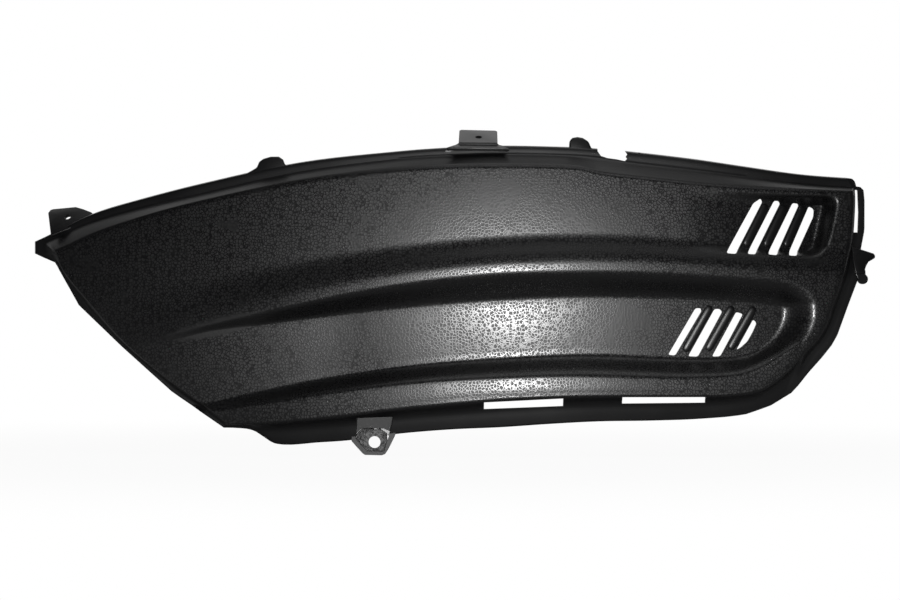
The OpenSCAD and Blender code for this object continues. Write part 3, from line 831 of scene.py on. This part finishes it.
def span(group, value, low, high, to_low=0.0, to_high=1.0):
    """A smooth Map Range node; gives its output socket."""
    node = group.nodes.new("ShaderNodeMapRange")
    node.interpolation_type = "SMOOTHSTEP"
    group.links.new(value, node.inputs["Value"])
    node.inputs["From Min"].default_value = low
    node.inputs["From Max"].default_value = high
    node.inputs["To Min"].default_value = to_low
    node.inputs["To Max"].default_value = to_high
    return node.outputs["Result"]


def noise(group, vector, scale, detail, distortion=0.0):
    """A Noise Texture node; gives its factor."""
    node = group.nodes.new("ShaderNodeTexNoise")
    node.inputs["Scale"].default_value = scale
    node.inputs["Detail"].default_value = detail
    node.inputs["Distortion"].default_value = distortion
    group.links.new(vector, node.inputs["Vector"])
    return node.outputs["Fac"]


def grain_group():
    """Leather grain: small round hollows with raised lines between them."""
    group, given, result = shader_group("Leather grain", {"Pitch": MM}, ("Height", "Hollow"))
    frequency = math_node(group, "DIVIDE", 1.0, given.outputs["Pitch"])
    cells = group.nodes.new("ShaderNodeTexVoronoi")
    cells.feature = "DISTANCE_TO_EDGE"
    cells.inputs["Randomness"].default_value = 0.85
    group.links.new(given.outputs["Vector"], cells.inputs["Vector"])
    group.links.new(frequency, cells.inputs["Scale"])
    height = span(group, cells.outputs["Distance"], 0.02, 0.28, 1.0, 0.0)
    hollow = span(group, cells.outputs["Distance"], 0.05, 0.19)
    group.links.new(height, result.inputs["Height"])
    group.links.new(hollow, result.inputs["Hollow"])
    return group


def handling_group():
    """Uneven gloss from handling: cloudy patches and fine specks."""
    group, given, result = shader_group("Handling marks", {"Amount": 0.2}, ("Shift", "Specks"))
    clouds = noise(group, given.outputs["Vector"], CLOUD_SCALE, 4.0)
    specks = noise(group, given.outputs["Vector"], SPECK_SCALE, 2.0)
    centred = math_node(group, "SUBTRACT", clouds, 0.5)
    shift = math_node(group, "MULTIPLY", centred, given.outputs["Amount"])
    group.links.new(shift, result.inputs["Shift"])
    group.links.new(span(group, specks, 0.66, 0.74), result.inputs["Specks"])
    return group


def worn_group():
    """A long worn patch in the front view: 1 inside, 0 outside."""
    group, given, result = shader_group("Worn patch", WORN_PATCH, ("Mask",))
    parts = group.nodes.new("ShaderNodeSeparateXYZ")
    group.links.new(given.outputs["Vector"], parts.inputs["Vector"])
    along = math_node(group, "SUBTRACT", parts.outputs["X"], given.outputs["X"])
    rise = math_node(group, "MULTIPLY", along, given.outputs["Slope"])
    above = math_node(group, "SUBTRACT", parts.outputs["Z"], given.outputs["Z"])
    across = math_node(group, "SUBTRACT", above, rise)
    far = []
    for value, reach in ((along, "Length"), (across, "Height")):
        part = math_node(group, "DIVIDE", value, given.outputs[reach])
        far.append(math_node(group, "MULTIPLY", part, part))
    distance = math_node(group, "ADD", *far)
    group.links.new(span(group, distance, 0.25, 1.0, 1.0, 0.0), result.inputs["Mask"])
    return group


def clear_tree(owner):
    """The emptied node tree of a material or a world."""
    owner.use_nodes = True
    owner.node_tree.nodes.clear()
    return owner.node_tree


def placed_group(tree, group, vector, values):
    """A node of a shader group, with its vector linked and its values set."""
    node = tree.nodes.new("ShaderNodeGroup")
    node.node_tree = group
    tree.links.new(vector, node.inputs["Vector"])
    for name, value in values.items():
        node.inputs[name].default_value = value
    return node


def plastic(name, looks, groups, base_roughness, grain=0.0, folds=0.0, marks=0.2):
    """A black plastic: grained, smooth or rough according to its values."""
    old = bpy.data.materials.get(name)
    if old is not None:
        bpy.data.materials.remove(old)
    material = bpy.data.materials.new(name)
    tree = clear_tree(material)
    out = tree.nodes.new("ShaderNodeOutputMaterial")
    shader = tree.nodes.new("ShaderNodeBsdfPrincipled")
    shader.inputs["Base Color"].default_value = (*looks.plastic, 1.0)
    shader.inputs["IOR"].default_value = 1.5
    shader.inputs["Specular IOR Level"].default_value = 0.5
    tree.links.new(shader.outputs["BSDF"], out.inputs["Surface"])
    place = tree.nodes.new("ShaderNodeTexCoord").outputs["Object"]
    handling = placed_group(tree, groups["handling"], place, {"Amount": marks})
    roughness = math_node(tree, "ADD", handling.outputs["Shift"], base_roughness)
    if grain:
        leather = placed_group(tree, groups["grain"], place, {"Pitch": looks.grain_pitch})
        worn = placed_group(tree, groups["worn"], place, WORN_PATCH).outputs["Mask"]
        rougher = math_node(tree, "MULTIPLY", leather.outputs["Hollow"], HOLLOW_ROUGHER)
        roughness = math_node(tree, "ADD", rougher, roughness)
        roughness = math_node(
            tree, "ADD", roughness, math_node(tree, "MULTIPLY", worn, WORN_ROUGHER)
        )
        kept = math_node(tree, "SUBTRACT", 1.0, worn)
        height = math_node(tree, "MULTIPLY", leather.outputs["Height"], kept)
    elif folds:
        height = noise(tree, place, FOLD_SCALE, 3.0, 1.4)
    else:
        height = handling.outputs["Specks"]
    tree.links.new(roughness, shader.inputs["Roughness"])
    bump = tree.nodes.new("ShaderNodeBump")
    bump.inputs["Strength"].default_value = 1.0
    bump.inputs["Distance"].default_value = grain or folds or SPECK_HEIGHT
    tree.links.new(height, bump.inputs["Height"])
    tree.links.new(bump.outputs["Normal"], shader.inputs["Normal"])
    return material


def panel_materials(looks):
    """The three finishes of the one black plastic, in the order of their numbers."""
    groups = {"grain": grain_group(), "handling": handling_group(), "worn": worn_group()}
    grained, smooth_finish, rough = FINISHES
    return [
        plastic(grained, looks, groups, looks.skin_roughness, grain=looks.grain_height, marks=0.08),
        plastic(smooth_finish, looks, groups, looks.border_roughness, marks=0.2),
        plastic(rough, looks, groups, EAR_ROUGHNESS, folds=FOLD_HEIGHT, marks=0.1),
    ]


def shade(obj, degrees=38.0):
    """Smooth shading with sharp edges where two faces meet at more than the angle."""
    mesh = obj.data
    mesh.polygons.foreach_set("use_smooth", [True] * len(mesh.polygons))
    work = bmesh.new()
    work.from_mesh(mesh)
    limit = math.radians(degrees)
    for edge in work.edges:
        edge.smooth = len(edge.link_faces) == 2 and edge.calc_face_angle(0.0) < limit
    work.to_mesh(mesh)
    work.free()
    mesh.update()


class PANEL_OT_make_panel(bpy.types.Operator):
    """Make the moulded panel with its vents, border, tabs and ear"""

    bl_idname = "panel.make_panel"
    bl_label = "Make panel"

    def execute(self, context):
        sizes = context.scene.panel_sizes
        form = Form(sizes)
        materials = panel_materials(context.scene.panel_looks)
        body = shell(form, sizes)
        cut(body, border_cutters())
        extras = small_pieces(form) + ear_box(form)
        ribs = louvre_ribs(form, sizes.rib_flatness, materials[SMOOTH])
        panel = join("panel_moulding", [body] + extras + [ribs])
        shade(panel)
        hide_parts(PANEL)
        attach(panel, "root")
        return {"FINISHED"}


def background_fac(tree, rays):
    """1 for the rays that see the background, from Light Path."""
    path = tree.nodes.new("ShaderNodeLightPath")
    total = path.outputs[rays[0]]
    for name in rays[1:]:
        total = math_node(tree, "MAXIMUM", total, path.outputs[name])
    return total


def coloured(tree, kind, colour):
    """A shader node of one colour; gives its output socket."""
    node = tree.nodes.new(kind)
    node.inputs["Color"].default_value = (*colour, 1.0)
    return node.outputs[0]


def show_mix(tree, kind, fac, first, second):
    """The output node of a tree, showing two shaders mixed by a factor."""
    out = tree.nodes.new(kind)
    mix = tree.nodes.new("ShaderNodeMixShader")
    for value, socket in zip((fac, first, second), mix.inputs):
        tree.links.new(value, socket)
    tree.links.new(mix.outputs["Shader"], out.inputs["Surface"])


def floor_material():
    """A pale floor that keeps the shadow near the panel and is white to the camera."""
    material = bpy.data.materials.new("pale floor")
    tree = clear_tree(material)
    place = tree.nodes.new("ShaderNodeTexCoord")
    away = tree.nodes.new("ShaderNodeVectorMath")
    away.operation = "LENGTH"
    tree.links.new(place.outputs["Object"], away.inputs[0])
    whiter = span(tree, away.outputs["Value"], 0.2, 0.8, 0.95, 1.0)
    seen = background_fac(tree, ("Is Camera Ray", "Is Transmission Ray"))
    paint = coloured(tree, "ShaderNodeBsdfDiffuse", FLOOR_COLOUR)
    glow = coloured(tree, "ShaderNodeEmission", WHITE)
    fac = math_node(tree, "MULTIPLY", seen, whiter)
    show_mix(tree, "ShaderNodeOutputMaterial", fac, paint, glow)
    return material


def white_room(scene):
    """A world that is white behind the panel and dim on the side of the camera."""
    world = bpy.data.worlds.new("white room")
    tree = clear_tree(world)
    place = tree.nodes.new("ShaderNodeTexCoord")
    parts = tree.nodes.new("ShaderNodeSeparateXYZ")
    tree.links.new(place.outputs["Generated"], parts.inputs["Vector"])
    far_side = span(tree, parts.outputs["Y"], 0.1, 0.6)
    mirrored = background_fac(tree, ("Is Glossy Ray", "Is Transmission Ray"))
    seen = background_fac(tree, ("Is Camera Ray",))
    fac = math_node(tree, "MAXIMUM", seen, math_node(tree, "MULTIPLY", mirrored, far_side))
    around = coloured(tree, "ShaderNodeBackground", DIM)
    behind = coloured(tree, "ShaderNodeBackground", WHITE)
    show_mix(tree, "ShaderNodeOutputWorld", fac, around, behind)
    scene.world = world


def lamp(name, spot, aim, power, size):
    """A square soft lamp that looks at a point."""
    data = bpy.data.lights.new(name, "AREA")
    data.shape = "SQUARE"
    data.size = size
    data.energy = power
    obj = placed(name, data)
    obj.location = spot
    obj.rotation_euler = (aim - spot).to_track_quat("-Z", "Y").to_euler()
    return obj


class PANEL_OT_make_stage(bpy.types.Operator):
    """Make the camera, the lamps, the floor and the background"""

    bl_idname = "panel.make_stage"
    bl_label = "Make stage"

    def execute(self, context):
        scene = context.scene
        stage = scene.panel_stage
        scene.view_settings.view_transform = "Standard"
        crown = Vector((stage.camera_x, CROWN_Y, stage.camera_z))
        camera_data = bpy.data.cameras.new("camera")
        sensor = camera_data.sensor_width
        camera_data.lens = sensor * stage.camera_distance / stage.picture_width
        camera_data.clip_end = 100.0
        camera = placed("camera", camera_data)
        camera.location = crown - Vector((0, stage.camera_distance, 0))
        camera.rotation_euler = (math.radians(90), 0, 0)
        scene.camera = camera
        key = lamp("key lamp", crown + Vector(KEY_PLACE), crown, stage.key_power, KEY_SIZE)
        fill = lamp("fill lamp", crown + Vector(FILL_PLACE), crown, stage.fill_power, FILL_SIZE)
        lowest = min(corner[2] for corner in SOLIDS_BOX)
        mesh = bpy.data.meshes.new("floor")
        corners = ((-1, -1), (1, -1), (1, 1), (-1, 1))
        mesh.from_pydata([(x * FLOOR_REACH, y * FLOOR_REACH, lowest - FLOOR_GAP)
                          for x, y in corners], [], [(0, 1, 2, 3)])
        mesh.materials.append(floor_material())
        floor = placed("floor", mesh)
        white_room(scene)
        return {"FINISHED"}


class PANEL_PT_sidebar(bpy.types.Panel):
    """Sizes, looks and makers of the fairing panel"""

    bl_label = "Fairing panel"
    bl_idname = "PANEL_PT_sidebar"
    bl_space_type = "VIEW_3D"
    bl_region_type = "UI"
    bl_category = "Panel"

    def draw(self, context):
        for owner in SETTINGS:
            box = self.layout.box()
            group = getattr(context.scene, owner)
            for name in group.bl_rna.properties.keys():
                if name not in {"rna_type", "name"}:
                    box.prop(group, name)
        self.layout.operator(PANEL_OT_make_panel.bl_idname)
        self.layout.operator(PANEL_OT_make_stage.bl_idname)


SETTINGS = {"panel_sizes": PanelSizes, "panel_looks": PanelLooks, "panel_stage": StageSettings}
CLASSES = (*SETTINGS.values(), PANEL_OT_make_panel, PANEL_OT_make_stage, PANEL_PT_sidebar)


def register():
    """Register the classes and hang the settings on the scene."""
    for cls in CLASSES:
        bpy.utils.register_class(cls)
    for name, kind in SETTINGS.items():
        setattr(bpy.types.Scene, name, bpy.props.PointerProperty(type=kind))


def unregister():
    """Take the settings off the scene and unregister the classes."""
    for name in SETTINGS:
        delattr(bpy.types.Scene, name)
    for cls in reversed(CLASSES):
        bpy.utils.unregister_class(cls)


def main():
    """Make everything."""
    register()
    bpy.ops.panel.make_stage()
    bpy.ops.panel.make_panel()


if __name__ == "__main__":
    main()
